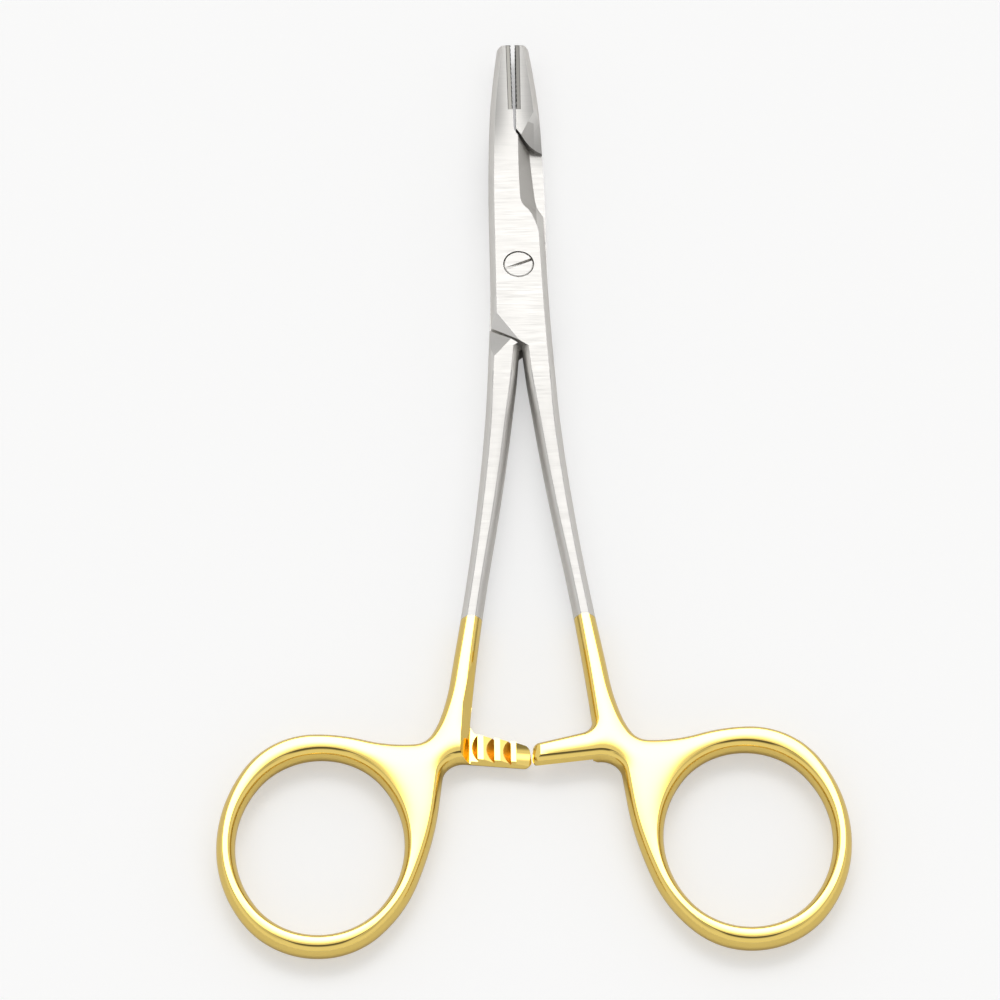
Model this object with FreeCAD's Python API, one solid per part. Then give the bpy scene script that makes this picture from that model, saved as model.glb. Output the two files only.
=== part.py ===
import FreeCAD, Part
import os
from math import cos, radians, sin, tan, sqrt

# Needle holder with scissor blades behind the jaws. Sizes in mm.
# Frame: it lies flat, +Y runs to the tips, +Z is up, the pivot axis is X = Y = 0, the underside is Z = 0.
# Each arm is drawn closed, as the upper one: left jaw, upper half of the lap, right shank and ring.
# The lower arm is the same forging turned over about the long axis. Both are then opened a little.

vec = FreeCAD.Vector
os.makedirs("parts", exist_ok=True)

# thickness
jointThick = 4.8
handleThick = 3.8
tipThick = 3.2
midPlane = jointThick / 2
lapGap = 0.04

# lengths along Y, from the pivot
tipY = 37.9
heelY = 22.2
thinFromY = -12.0
thinToY = -42.0

# opening of the whole instrument as it lies, in degrees
restOpening = 0.8

# bevels along the outline, and the second, steeper bevel below each
holeBevel = 0.75
handleBevel = 0.8
jawBevel = 0.8
easeShare = 0.55

# jaws and inserts
insertThick = 0.7
insertLong = 12.0
jawClear = 0.02
toothPitch = 0.8
toothDeep = 0.18

# scissor blade behind the jaw
edgeLand = 0.15
bladeClear = 0.15
stepNear = (0.3, heelY)
stepMid = (1.7, heelY - 1.75)
stepFar = (3.6, heelY - 2.7)
heelNear = (-0.8, heelY - 0.15)
heelFar = (-2.0, heelY + 2.7)
heelHollow = 9.0
heelSlope = 43.0

# shoulders of the lap
shoulderGap = 0.4
endSlope = 42.0
shoulderSlope = 23.0

# pivot screw
screwShank = 2.8
screwHead = 4.0
headDeep = 1.1
headBevel = 0.12
runClear = 0.05
headClear = 0.12
slotWide = 0.42
slotDeep = 0.6
slotTurn = 22.0
slotFade = 9.0

# finger ring: the hole starts at its near side and top, the band lies round it
holeSideX = 15.95
holeTopY = -74.2
holeHalfX = 10.8
holeHalfY = 12.5
bandSide = 2.45
bandLow = 2.9
bandTop = 3.35
ringX = holeSideX + holeHalfX
ringY = holeTopY - holeHalfY

# ratchet, sizes along X from the tip of the bar in the closed position
barTipX = -0.5
toothStep = 2.15
toothCount = 3
toothHigh = 0.85
crestWide = 0.75
slopeFall = 0.4
firstFace = 2.65
pocketRound = 1.75
pocketReach = 1.0
barEdge = 0.8
tipBevel = 1.25
tipBevelSlope = 36.0

# Plan outlines of the blank, closed position. Runs list x, y and the direction there.
tipCorner = (-1.86, tipY)
leftRun = [(-2.12, 36.0, -0.136, -1), (-3.36, 24.0, -0.055, -1), (-4.02, -9.4, -0.012, -1)]
endCorner = (0.12, -12.5)
innerRun = [(0.12, -12.5, 0.08, -1), (0.95, -21.3, 0.112, -1), (7.1, -66.5, 0.103, -1)]
barRoot = (7.55, -70.85)
barCornerTop = (-0.3, -72.65)
barCornerLow = (-0.65, -75.85)
webCorner = (10.7, -74.75)
outerRun = [(11.5, -81.2, 0.8, -6.45), (holeSideX - 1.65, ringY - 5.3, 0.38, -1),
            (ringX, ringY - holeHalfY - bandLow, 1, 0), (ringX + holeHalfX + bandSide, ringY, 0, 1),
            (ringX + 0.75, holeTopY + bandTop, -1, 0), (14.6, -72.45, -1, 0.06), (11.4, -69.0, -0.36, 1),
            (9.0, -57.3, -0.165, 1), (4.2, -12.0, -0.04, 1), (3.42, heelY + 1.4, -0.02, 1)]
rootRound = 1.7
barRound = 1.0
webRound = 2.7
cornerRound = 1.0

# foot of the step between shank and ratchet bar, on the underside of the upper arm
stepRun = [(7.32, -61.0), (8.4, -67.2), (8.65, -71.3), (8.85, -77.5)]

# scissor blade in plan: its cutting edge, and the top of its bevel
bladeEdge = [(1.75, 24.0, 0.09, -1), (2.6, 12.0, 0.09, -1), (3.3, 9.75, 0.6, -1), (4.3, 7.6, 0.3, -1),
             (5.6, -1.5, 0.1, -1)]
bevelTop = [(0.5, 24.0, 0, -1), (0.5, 13.0, 0.02, -1), (1.3, 9.3, 0.75, -0.75), (2.35, 7.4, 0.35, -1),
            (3.4, -1.5, 0.1, -1)]


def flat(point, z=0):
    return vec(point[0], point[1], z)


def line(a, b):
    return Part.LineSegment(flat(a), flat(b)).toShape()


def arcFrom(a, along, b):
    # the arc that leaves point a in the direction given and ends at point b
    chord = b - a
    side = along - chord * (along.dot(chord) / chord.dot(chord))
    if side.Length < 1e-6:
        return Part.LineSegment(a, b).toShape()
    swing = along.getAngle(chord)
    middle = a + chord * 0.5 + side.normalize() * (chord.Length / 2 * tan(swing / 2))
    return Part.Arc(a, middle, b).toShape()


def smoothRun(points):
    # tangent arcs through points that each carry their direction: x, y, dx, dy
    edges = []
    for start, end in zip(points, points[1:]):
        a = vec(start[0], start[1], 0)
        b = vec(end[0], end[1], 0)
        ta = vec(start[2], start[3], 0).normalize()
        tb = vec(end[2], end[3], 0).normalize()
        chord = b - a
        both = chord.dot(ta + tb)
        spread = 2 * (1 - ta.dot(tb))
        if spread < 1e-9:
            reach = chord.dot(chord) / (4 * chord.dot(tb))
        else:
            reach = (sqrt(both * both + spread * chord.dot(chord)) - both) / spread
        joint = (a + ta * reach + b - tb * reach) * 0.5
        edges.append(arcFrom(a, ta, joint))
        edges.append(arcFrom(b, tb * -1, joint))
    return edges


def prism(points, low, high):
    corners = [vec(x, y, low) for x, y in points]
    face = Part.Face(Part.makePolygon(corners + corners[:1]))
    return face.extrude(vec(0, 0, high - low))


def thicknessProfile():
    # side view, drawn in Y and Z and swept across X
    tip = tipThick / 2
    joint = jointThick / 2
    handle = handleThick / 2
    m = midPlane

    def bend(y0, h0, y1, h1, slope0, slope1, side):
        third = (y1 - y0) / 3
        poles = [vec(0, y0, m + side * h0), vec(0, y0 + third, m + side * (h0 + slope0 * third)),
                 vec(0, y1 - third, m + side * (h1 - slope1 * third)), vec(0, y1, m + side * h1)]
        curve = Part.BezierCurve()
        curve.setPoles(poles)
        return curve.toShape()

    def level(y0, y1, h, side):
        return Part.LineSegment(vec(0, y0, m + side * h), vec(0, y1, m + side * h)).toShape()

    taper = (tip - joint) / (tipY + 1 - 16.0) * 1.5
    far = ringY - holeHalfY - bandLow - 1
    edges = []
    for side in (1, -1):
        edges.append(bend(tipY + 1, tip, 14.0, joint, taper, 0, side))
        edges.append(level(14.0, thinFromY, joint, side))
        edges.append(bend(thinFromY, joint, thinToY, handle, 0, 0, side))
        edges.append(level(thinToY, far, handle, side))
    edges.append(Part.LineSegment(vec(0, tipY + 1, m - tip), vec(0, tipY + 1, m + tip)).toShape())
    edges.append(Part.LineSegment(vec(0, far, m - handle), vec(0, far, m + handle)).toShape())
    wire = Part.Wire(Part.__sortEdges__(edges))
    face = Part.Face(wire)
    face.translate(vec(-10, 0, 0))
    return face.extrude(vec(60, 0, 0))


def towards(a, b):
    return vec(b[0] - a[0], b[1] - a[1], 0).normalize()


def roundedPath(points, radii):
    # straight runs with a tangent arc of the given radius at each inner point
    edges = []
    start = vec(points[0][0], points[0][1], 0)
    for before, corner, after, radius in zip(points, points[1:], points[2:], radii):
        back = towards(corner, before)
        ahead = towards(corner, after)
        half = back.getAngle(ahead) / 2
        reach = radius / tan(half)
        middle = vec(corner[0], corner[1], 0)
        centre = middle + (back + ahead).normalize() * (radius / sin(half))
        first = middle + back * reach
        last = middle + ahead * reach
        inside = centre + (middle - centre).normalize() * radius
        edges.append(Part.LineSegment(start, first).toShape())
        edges.append(Part.Arc(first, inside, last).toShape())
        start = last
    edges.append(Part.LineSegment(start, vec(points[-1][0], points[-1][1], 0)).toShape())
    return edges


def blankOutline():
    # the rounded runs of the outline, each a chain of tangent edges
    tip = roundedPath([(0, tipY), tipCorner, leftRun[0]], [cornerRound])
    bar = roundedPath([innerRun[-1], barRoot, barCornerTop, barCornerLow, webCorner, outerRun[0]],
                      [rootRound, barRound, barRound, webRound])
    return tip + smoothRun(leftRun), smoothRun(innerRun) + bar + smoothRun(outerRun)


def ringHole():
    right = (ringX + holeHalfX, ringY, 0, 1)
    top = (ringX, ringY + holeHalfY, -1, 0)
    left = (ringX - holeHalfX, ringY, 0, -1)
    low = (ringX, ringY - holeHalfY, 1, 0)
    return smoothRun([right, top, left, low, right])


def blank():
    left, handle = blankOutline()
    top = outerRun[-1]
    rest = [line((0, tipY), (0, top[1])), line((0, top[1]), top), line(leftRun[-1], endCorner)]
    face = Part.Face(Part.Wire(Part.__sortEdges__(left + handle + rest)))
    face.translate(vec(0, 0, -1))
    rim = ringHole()
    core = Part.Face(Part.Wire(Part.__sortEdges__(rim)))
    core.translate(vec(0, 0, -1))
    solid = face.extrude(vec(0, 0, jointThick + 2)).common(thicknessProfile())
    solid = solid.cut(core.extrude(vec(0, 0, jointThick + 2)))
    for bevel, curves in ((holeBevel, rim), (handleBevel, handle), (jawBevel, left)):
        for size in (bevel, bevel * easeShare):
            solid = solid.makeChamfer(size, edgesOver(solid, curves))
    return solid


def edgesOver(solid, curves):
    # the upper and lower edges of the solid that run over the given plan curves
    found = []
    for edge in solid.Edges:
        a, b = edge.ParameterRange
        mid = edge.valueAt((a + b) / 2)
        tangent = edge.tangentAt((a + b) / 2)
        if abs(tangent.z) > 0.7:
            continue
        spot = Part.Vertex(vec(mid.x, mid.y, 0))
        if min(spot.distToShape(c)[0] for c in curves) < 0.002:
            found.append(edge)
    return found


def wedge(a, b, outward, atZ, slope, side):
    # a cutter that falls away from the line a-b at the given slope; side is 1 from above, -1 from below
    run = towards(a, b)
    out = vec(-run.y, run.x, 0) * outward
    fall = tan(radians(slope))
    back = 1.5
    reach = 8.0
    start = vec(a[0], a[1], 0)
    corners = [start - out * back + vec(0, 0, atZ + side * back * fall),
               start + out * reach + vec(0, 0, atZ - side * reach * fall),
               start + out * reach + vec(0, 0, atZ + side * back * fall)]
    face = Part.Face(Part.makePolygon(corners + corners[:1]))
    return face.extrude(vec(b[0] - a[0], b[1] - a[1], 0))


def onLine(a, b, x):
    return a[1] + (b[1] - a[1]) / (b[0] - a[0]) * (x - a[0])


def behindStep(side, shift, corners, low, high):
    # a block bounded by the curved step behind the jaw and by the corners given, from far to near end
    near, mid, far = [vec(side * x, y, low) + shift for x, y in (stepNear, stepMid, stepFar)]
    walls = [Part.Arc(near, mid, far).toShape()]
    chain = [far] + [vec(x, y, low) for x, y in corners] + [near]
    for a, b in zip(chain, chain[1:]):
        walls.append(Part.LineSegment(a, b).toShape())
    return Part.Face(Part.Wire(walls)).extrude(vec(0, 0, high - low))


def otherJaw():
    # what the opposite jaw takes: the cut that leaves the jaw face and the point of the blade
    run = towards(stepNear, stepFar)
    back = vec(run.y, -run.x, 0) * bladeClear
    faceX = -jawClear
    faceY = onLine(stepNear, stepMid, faceX) + back.y
    return behindStep(1, back, [(7, stepFar[1]), (7, tipY + 5), (faceX, tipY + 5), (faceX, faceY)], -2, jointThick + 2)


def besideRun(run, z):
    # closed wire from a run out to a wall well to its right
    edges = smoothRun(run)
    far = 9
    first = run[0]
    last = run[-1]
    edges.append(line((last[0], last[1]), (far, last[1])))
    edges.append(line((far, last[1]), (far, first[1])))
    edges.append(line((far, first[1]), (first[0], first[1])))
    wire = Part.Wire(Part.__sortEdges__(edges))
    wire.translate(vec(0, 0, z))
    return wire


def bladeGrind():
    low = midPlane + edgeLand
    bevel = Part.makeLoft([besideRun(bladeEdge, low), besideRun(bevelTop, jointThick)], True, True)
    above = Part.Face(besideRun(bevelTop, jointThick)).extrude(vec(0, 0, 1))
    below = Part.Face(besideRun(bladeEdge[:3] + [(5.6, 8.9, 1, -0.2)], -1)).extrude(vec(0, 0, low + 1))
    return [bevel, above, below]


def lapPocket():
    # room for the other arm's half, from its shoulder to the step behind the jaw
    endA = (-leftRun[-1][0], leftRun[-1][1])
    endB = (-endCorner[0], endCorner[1])
    run = towards(endA, endB)
    down = vec(-run.y, run.x, 0) * shoulderGap
    a = (endA[0] + down.x, endA[1] + down.y)
    b = (endB[0] + down.x, endB[1] + down.y)
    top = onLine(stepNear, stepMid, -1)
    corners = [(-7, stepFar[1]), (-7, onLine(a, b, -7)), (7, onLine(a, b, 7)), (7, top), (1, top)]
    return behindStep(-1, vec(0, 0, 0), corners, -1, midPlane + lapGap / 2)


def toothLine():
    # the underside of the ratchet bar, drawn in X and Z
    crest = midPlane - toothHigh / 2
    points = [(barTipX - 1, -1), (barTipX - 1, crest + slopeFall)]
    for k in range(toothCount):
        face = barTipX + firstFace + k * toothStep
        points += [(face - toothStep, crest + slopeFall), (face - crestWide, crest), (face, crest)]
    points += [(face, crest + slopeFall), (face + 6, crest + slopeFall), (face + 6, -1)]
    corners = [vec(x, 0, z) for x, z in points]
    return Part.Face(Part.makePolygon(corners + corners[:1]))


def stepRoom():
    # what lies on the bar's side of the step: its slope carries on the bevel of the shank
    bottom = midPlane - handleThick / 2
    rings = []
    for z in (-1, midPlane + toothHigh):
        shift = bottom - z
        run = [(x + shift, y) for x, y in stepRun]
        corners = [vec(x, y, z) for x, y in run + [(barTipX - 2, run[-1][1]), (barTipX - 2, run[0][1])]]
        rings.append(Part.makePolygon(corners + corners[:1]))
    return Part.makeLoft(rings, True, True)


def pockets():
    # round-nosed gullets before each tooth, and one at the tip of the bar
    across = (barCornerTop[1] + barCornerLow[1]) / 2
    valley = midPlane + toothHigh / 2
    tools = []
    for k in range(-1, toothCount):
        face = barTipX + firstFace + k * toothStep
        tool = Part.makeCylinder(pocketRound, valley + 1, vec(face + pocketReach - pocketRound, across, -1))
        if k >= 0:
            tool = tool.common(prism([(face, across - 4), (face + 4, across - 4), (face + 4, across + 4), (face, across + 4)],
                                     -1, valley))
        tools.append(tool)
    return tools


def ratchetCuts():
    teeth = toothLine()
    teeth.translate(vec(0, stepRun[-1][1], 0))
    cuts = [teeth.extrude(vec(0, stepRun[0][1] - stepRun[-1][1], 0)).common(stepRoom())]
    crest = midPlane - toothHigh / 2
    far = stepRun[-1][0] - 1.5
    cuts.append(wedge((barTipX - 1, onLine(barCornerLow, webCorner, barTipX - 1) + barEdge),
                      (far, onLine(barCornerLow, webCorner, far) + barEdge), -1, crest, 45, -1))
    top = midPlane + handleThick / 2
    cuts.append(wedge((barTipX + tipBevel, barRoot[1]), (barTipX + tipBevel, barCornerLow[1] - 1),
                      -1, top, tipBevelSlope, 1))
    return cuts + pockets()


def heelGrind():
    # the hollow grind across the heel of the jaw, a round wheel laid along a line on its underside
    run = towards(heelNear, heelFar)
    away = vec(run.y, -run.x, 0)
    if away.x > 0:
        away = away * -1
    lean = radians(heelSlope)
    centre = flat(heelNear) + away * (heelHollow * sin(lean)) - run * 4 + vec(0, 0, -heelHollow * cos(lean))
    return Part.makeCylinder(heelHollow, 12, centre, run)


def forging():
    raw = blank()
    seat = prism([(-insertThick - jawClear, tipY - insertLong), (1, tipY - insertLong), (1, tipY + 1),
                  (-insertThick - jawClear, tipY + 1)], -1, jointThick + 1)
    cuts = [otherJaw(), lapPocket(), seat] + bladeGrind()
    cuts.append(wedge((-3.6, -7.2), (-0.2, -12.35), -1, jointThick, endSlope, 1))
    cuts.append(wedge((1.2, -12.0), (4.2, -15.6), 1, 0, shoulderSlope, -1))
    cuts.append(heelGrind())
    solid = raw
    for cut in cuts + ratchetCuts():
        solid = solid.cut(cut)
    return raw, solid


def drilled(solid, radius, headRadius):
    shank = Part.makeCylinder(radius, jointThick + 2, vec(0, 0, -1))
    solid = solid.cut(shank)
    if headRadius:
        solid = solid.cut(Part.makeCylinder(headRadius, headDeep + 1, vec(0, 0, jointThick - headDeep)))
    return solid


def jawInsert(raw):
    # the hard plate on the jaw face, its gripping face cut into points by crossed grooves
    plate = raw.common(prism([(-insertThick - jawClear, tipY - insertLong), (-jawClear, tipY - insertLong),
                              (-jawClear, tipY + 1), (-insertThick - jawClear, tipY + 1)], -1, jointThick + 1))
    grooves = []
    tall = jointThick
    count = int((insertLong + tall) / toothPitch) + 2
    for way in (1, -1):
        for k in range(count):
            y = tipY - insertLong - tall / 2 + (k - 0.5) * toothPitch
            base = vec(-jawClear, y, midPlane - way * tall / 2)
            half = vec(0, toothPitch / 2, 0)
            deep = vec(toothDeep, 0, 0)
            corners = [base - half, base - half + deep, base + half + deep, base + half, base - deep]
            face = Part.Face(Part.makePolygon(corners + corners[:1]))
            grooves.append(face.extrude(vec(0, tall, way * tall)))
    return plate.cut(Part.makeCompound(grooves))


def pivotScrew():
    radius = screwHead / 2
    body = Part.makeCylinder(screwShank / 2, jointThick, vec(0, 0, 0))
    head = Part.makeCylinder(radius, headDeep - runClear, vec(0, 0, jointThick - headDeep + runClear))
    rim = [e for e in head.Edges if e.Length > 1.9 * radius and e.BoundBox.ZMin > jointThick - 0.01]
    screw = body.fuse(head.makeChamfer(headBevel, rim)).removeSplitter()
    slot = Part.makeBox(screwHead + 1, slotWide, slotDeep + 1, vec(-radius * 2 - 1, -slotWide / 2, -slotDeep))
    slot.rotate(vec(0, 0, 0), vec(0, 1, 0), slotFade)
    slot.translate(vec(radius, 0, jointThick))
    slot.rotate(vec(0, 0, 0), vec(0, 0, 1), slotTurn)
    return screw.cut(slot)


def turned(shape, angle):
    shape.rotate(vec(0, 0, 0), vec(0, 0, 1), angle)
    return shape


def flipped(shape):
    shape.rotate(vec(0, 0, midPlane), vec(0, 1, 0), 180)
    return shape


raw, forged = forging()
plate = jawInsert(raw)
half = restOpening / 2
pieces = {
    "front_arm": turned(drilled(forged.copy(), screwShank / 2 + runClear, screwHead / 2 + headClear), half),
    "back_arm": turned(flipped(drilled(forged.copy(), screwShank / 2, 0)), -half),
    "front_jaw_insert": turned(plate.copy(), half),
    "back_jaw_insert": turned(flipped(plate.copy()), -half),
    "pivot_screw": pivotScrew(),
}
for name, shape in pieces.items():
    shape.exportStep("parts/" + name + ".step")
    print(name, shape.isValid(), len(shape.Solids), round(shape.Volume, 2))
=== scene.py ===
import math
import bmesh
import bpy
import numpy as np
from mathutils import Matrix, Vector, geometry, kdtree


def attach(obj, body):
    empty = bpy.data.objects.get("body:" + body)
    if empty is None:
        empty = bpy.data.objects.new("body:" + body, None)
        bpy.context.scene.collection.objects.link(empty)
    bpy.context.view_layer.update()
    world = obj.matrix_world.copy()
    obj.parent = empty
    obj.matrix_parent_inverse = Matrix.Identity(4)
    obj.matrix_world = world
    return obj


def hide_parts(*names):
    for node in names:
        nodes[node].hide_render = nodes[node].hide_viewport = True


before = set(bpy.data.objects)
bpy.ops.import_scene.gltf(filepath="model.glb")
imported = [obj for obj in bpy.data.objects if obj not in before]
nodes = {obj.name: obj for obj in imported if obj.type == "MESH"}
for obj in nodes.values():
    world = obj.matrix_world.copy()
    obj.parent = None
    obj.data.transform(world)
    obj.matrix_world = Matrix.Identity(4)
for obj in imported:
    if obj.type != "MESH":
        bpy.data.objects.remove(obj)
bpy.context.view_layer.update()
mm = 0.001

# The handle of one forging, in mm: plan outline of the right shank, ratchet bar and finger ring.
# Runs list x, y and the direction there. The other arm is the same forging turned over.

hole = {"sideX": 15.95, "topY": -74.2, "halfX": 10.8, "halfY": 12.5}
band = {"side": 2.45, "low": 2.9, "top": 3.35}
ringX, ringY = hole["sideX"] + hole["halfX"], hole["topY"] - hole["halfY"]
outline = {
    "inner": [(0.12, -12.5, 0.08, -1), (0.95, -21.3, 0.112, -1), (7.1, -66.5, 0.103, -1)],
    "bar": [(7.1, -66.5), (7.55, -70.85), (-0.3, -72.65), (-0.65, -75.85), (10.7, -74.75), (11.5, -81.2)],
    "rounds": [1.7, 1.0, 1.0, 2.7],
    "outer": [(11.5, -81.2, 0.8, -6.45), (hole["sideX"] - 1.65, ringY - 5.3, 0.38, -1),
              (ringX, ringY - hole["halfY"] - band["low"], 1, 0),
              (ringX + hole["halfX"] + band["side"], ringY, 0, 1),
              (ringX + 0.75, hole["topY"] + band["top"], -1, 0), (14.6, -72.45, -1, 0.06),
              (11.4, -69.0, -0.36, 1), (9.0, -57.3, -0.165, 1), (4.2, -12.0, -0.04, 1)],
    "hole": [(ringX + hole["halfX"], ringY, 0, 1), (ringX, ringY + hole["halfY"], -1, 0),
             (ringX - hole["halfX"], ringY, 0, -1), (ringX, ringY - hole["halfY"], 1, 0),
             (ringX + hole["halfX"], ringY, 0, 1)],
}
section = {
    "midPlane": 2.4, "jointHalf": 2.4, "handleHalf": 1.9, "thinFrom": -12.0, "thinTo": -42.0,
    "opening": 0.4,        # degrees that each arm is turned at rest
    "sideDeep": 0.8,       # how far in the rounded side reaches
    "edgeRound": 0.28,     # radius of the crisp upper edge
    "edgeHigh": 0.255,     # height of that edge, as a share of its radius
    "edgeSlope": 4.0,      # degrees left where the crowned top begins
    "crownSlope": 0.125,   # slope of the crown at the edge of a wide top
    "crownReach": 0.9,     # how far in the crown keeps falling
    "bevel": 0.8, "ease": 0.44,
    "seamY": -17.0,        # where the handle meets the joint
    "morph": 9.0,          # length over which the joint's bevel becomes the rounded side
}
spacing = {
    "columns": 0.36, "turn": 3.2,
    "rows": (1.32, 1.58, 1.84, 2.1, 2.4, 2.7, 3.0, 3.4, 3.8, 4.3, 4.8, 5.4, 6.0),
    "apart": 0.23,
    "patch": 0.45,         # reach of the patch that a normal is fitted to
}
ratchet = {
    "tipX": -0.5, "step": 2.15, "count": 3, "high": 0.85, "crest": 0.75, "fall": 0.4, "firstFace": 2.65,
    "below": -3.4,         # the cutters reach down to here
    "scoopRound": 2.6, "scoopSlope": 1.05, "scoopDeep": 0.76, "scoopLong": 1.5, "scoopHalf": 2.2,
    "endRound": 4.5, "endSlope": 0.2, "endDeep": 0.4,
    "edge": 0.55, "edgeFall": 60.0,
    "tipBevel": 1.25, "tipSlope": 36.0,
    "stepRun": [(7.32, -61.0), (8.4, -67.2), (8.65, -71.3), (8.85, -77.5)],
    "wallLean": 0.64,      # the step's wall leans this far out for each mm of height
}
under = np.array([1, 1, -1.0])   # turns a point or a normal over to the underside


def dot(a, b):
    return (a * b.conjugate()).real


def arcRun(a, along, b, step=0.02):
    # the arc that leaves a in the direction given and ends at b, as points and directions
    chord = b - a
    swing = np.angle(chord / along)
    if abs(swing) < 1e-9:
        count = max(2, int(abs(chord) / step))
        share = np.arange(count) / count
        return a + chord * share, np.full(count, along), along
    length = abs(chord) * swing / math.sin(swing)
    count = max(2, int(length / step))
    turn = np.exp(2j * swing * np.arange(count) / count)
    return a + along * length * (turn - 1) / (2j * swing), along * turn, along * np.exp(2j * swing)


def smoothRun(points):
    # two arcs between each pair of points, meeting with the same direction
    parts = []
    for start, end in zip(points, points[1:]):
        a, b = complex(*start[:2]), complex(*end[:2])
        ta, tb = complex(*start[2:]), complex(*end[2:])
        ta, tb = ta / abs(ta), tb / abs(tb)
        chord = b - a
        both, spread = dot(chord, ta + tb), 2 * (1 - dot(ta, tb))
        if spread < 1e-9:
            reach = abs(chord) ** 2 / (4 * dot(chord, tb))
        else:
            reach = (math.sqrt(both * both + spread * abs(chord) ** 2) - both) / spread
        joint = (a + ta * reach + b - tb * reach) / 2
        first = arcRun(a, ta, joint)
        parts += [first[:2], arcRun(joint, first[2], b)[:2]]
    return parts


def roundedPath(points, radii):
    # straight runs with their corners rounded
    corners = [complex(*p) for p in points]
    parts = []
    start = corners[0]
    for before, corner, after, radius in zip(corners, corners[1:], corners[2:], radii):
        back, ahead = (before - corner) / abs(before - corner), (after - corner) / abs(after - corner)
        half = abs(np.angle(ahead / back)) / 2
        first, last = corner + back * radius / math.tan(half), corner + ahead * radius / math.tan(half)
        parts += [arcRun(start, -back, first)[:2], arcRun(first, -back, last)[:2]]
        start = last
    way = (corners[-1] - start) / abs(corners[-1] - start)
    parts.append(arcRun(start, way, corners[-1])[:2])
    return parts


def joined(parts):
    return np.concatenate([p[0] for p in parts]), np.concatenate([p[1] for p in parts])


def respaced(points, ways, closed):
    # columns closer together where the outline turns
    angle = np.unwrap(np.angle(ways))
    step = np.abs(np.diff(points))
    along = np.concatenate([[0], np.cumsum(step)])
    bend = np.abs(np.diff(angle)) / np.maximum(step, 1e-6)
    wide = np.convolve(np.pad(bend, 15, mode="edge"), np.ones(31) / 31, "valid")
    dense = np.maximum(1 / spacing["columns"], wide / math.radians(spacing["turn"]))
    run = np.concatenate([[0], np.cumsum(dense * step)])
    count = int(run[-1]) + 1
    spots = np.interp(np.linspace(0, run[-1], count + 1), run, along)
    if closed:
        spots = spots[:-1]
    place = np.interp(spots, along, points.real) + 1j * np.interp(spots, along, points.imag)
    return place, np.exp(1j * np.interp(spots, along, angle))


def smoothStep(value, low, high):
    t = np.clip((value - low) / (high - low), 0, 1)
    return t * t * (3 - 2 * t)


def halfThick(y):
    return section["jointHalf"] + (section["handleHalf"] - section["jointHalf"]) * smoothStep(
        -y, -section["thinFrom"], -section["thinTo"])


def grown(y):
    # 0 at the seam with the joint, 1 where the handle has its full round section
    return smoothStep(-y, -section["seamY"], -section["seamY"] + section["morph"])


def plainRows(tall):
    # the plain double bevel of the joint, which the rounded side grows out of
    b, e = section["bevel"], section["ease"]
    inset = e * math.sqrt(0.5)
    low, mid = tall - b - e, tall - b + inset
    depth = [0, 0, 0, 0, inset / 3, inset * 2 / 3, inset, (inset + b) / 2,
             b, b + 0.03, b + 0.06, b + 0.085, b + 0.1]
    high = [0 * low, low / 3, low * 2 / 3, low, low + (mid - low) / 3, low + (mid - low) * 2 / 3, mid,
            (mid + tall) / 2, tall, tall, tall, tall, tall]
    turn = np.radians([0, 0, 0, 8, 22, 24, 34, 45, 68, 90, 90, 90, 90])
    return np.array(depth)[:, None], np.array(high), turn[:, None]


def sideRows(y):
    # depth in from the outline, height over the mid plane and slope of the side, row by row
    tall, share = halfThick(y), grown(y)
    crown = section["crownSlope"] * section["crownReach"] * share
    deep, tight = section["sideDeep"], section["edgeRound"]
    flat = math.radians(90 - section["edgeSlope"])
    rise = tall - crown - section["edgeHigh"] * tight
    lean = 2 * np.arctan(deep / rise)
    radius = rise / np.sin(lean)
    side = lean * np.linspace(0, 1, 9)[:, None]
    edge = lean + (flat - lean) * np.linspace(0, 1, 5)[1:, None]
    depth = np.vstack([radius * (1 - np.cos(side)), deep + tight * (np.cos(lean) - np.cos(edge))])
    high = np.vstack([radius * np.sin(side), rise + tight * (np.sin(edge) - np.sin(lean))])
    high[-1] = tall - crown
    turn = np.vstack([side, edge])
    return [own * share + plain * (1 - share) for own, plain in zip((depth, high, turn), plainRows(tall))]


def handleOutline():
    points, ways = joined(smoothRun(outline["inner"]) + roundedPath(outline["bar"], outline["rounds"])
                          + smoothRun(outline["outer"]))
    below = np.nonzero(points.imag < section["seamY"])[0]
    points, ways = respaced(points[below[0]:below[-1] + 1], ways[below[0]:below[-1] + 1], False)
    rim, rimWays = joined(smoothRun(outline["hole"]))
    rim, rimWays = respaced(rim[::-1], -rimWays[::-1], True)
    return points, ways, rim, rimWays


def inwardDepth(spots, points, ways):
    # distance in from the nearest part of the outline, negative outside
    deep = np.empty(len(spots))
    for start in range(0, len(spots), 2000):
        gap = spots[start:start + 2000, None] - points[None, :]
        near = np.abs(gap).argmin(axis=1)
        across = gap[np.arange(len(near)), near]
        away = np.abs(across)
        side = dot(across, 1j * ways[near])
        deep[start:start + 2000] = np.where(side > 0, away, -away)
    return deep


def innerPoints(points, ways):
    # rows of points inside the edge, thinned where they crowd at the middle of the strip
    kept, cells = [], {}
    apart = spacing["apart"]
    for deep in spacing["rows"]:
        row = points + 1j * ways * deep
        real = inwardDepth(row, points, ways)
        for spot in row[real > deep - 0.03]:
            if spot.imag > section["seamY"] - 0.15:
                continue
            cell = (int(spot.real // apart), int(spot.imag // apart))
            around = [(cell[0] + i, cell[1] + j) for i in (-1, 0, 1) for j in (-1, 0, 1)]
            if any(abs(spot - other) < apart for key in around for other in cells.get(key, [])):
                continue
            cells.setdefault(cell, []).append(spot)
            kept.append(spot)
    return np.array(kept)


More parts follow.
